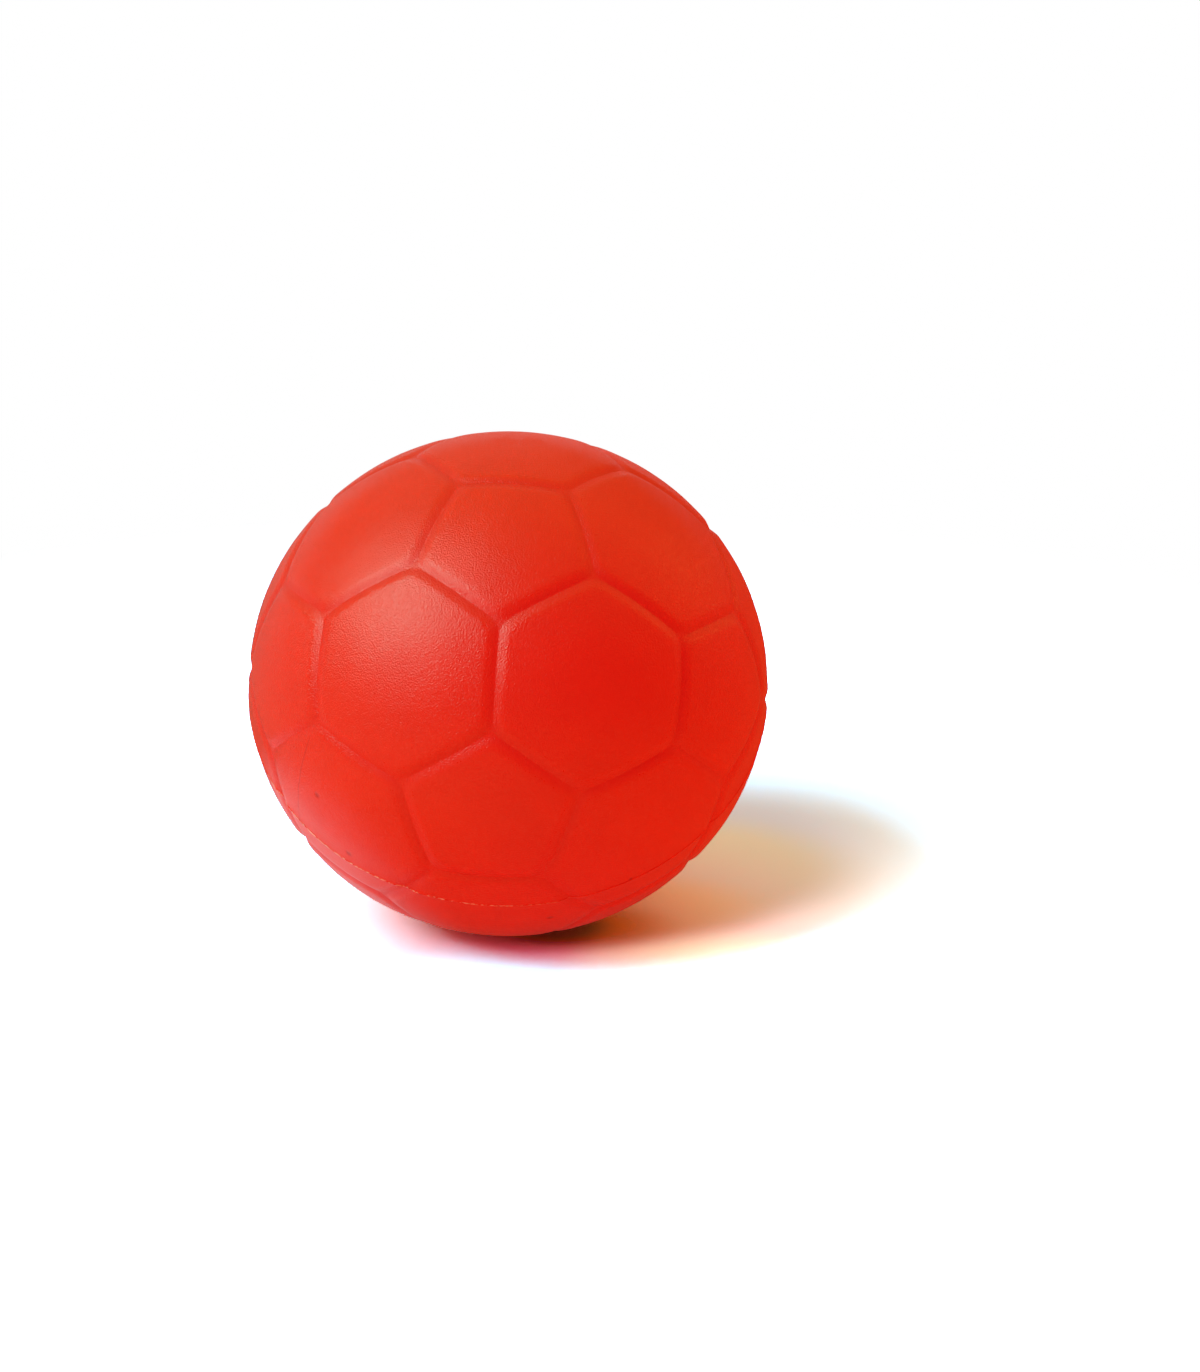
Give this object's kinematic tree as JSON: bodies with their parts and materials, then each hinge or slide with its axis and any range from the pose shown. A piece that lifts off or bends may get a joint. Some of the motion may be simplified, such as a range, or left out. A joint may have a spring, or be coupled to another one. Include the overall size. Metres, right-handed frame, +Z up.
{
  "type": "foam soccer ball",
  "caption": "Soft moulded foam play ball with a soccer pattern of rounded grooves, a thin mould parting line and a small flat patch where it rests.",
  "frame": {"origin": "middle of the flat patch under the ball, on the floor that it rests on", "axes": "+Z up from the floor, +X to the viewer's right in the picture, +Y away from the viewer"},
  "size_m": [0.2008, 0.1998, 0.1927],
  "materials": {
    "red_skin": "satin moulded polyurethane skin with a fine grain",
    "red_flash": "thin satin fin of the same polyurethane skin",
    "red_foam": "matt cellular polyurethane foam"
  },
  "bodies": {
    "root": {"upper_skin": "red_skin", "lower_skin": "red_skin", "parting_flash": "red_flash", "foam_core": "red_foam"}
  },
  "joints": []
}
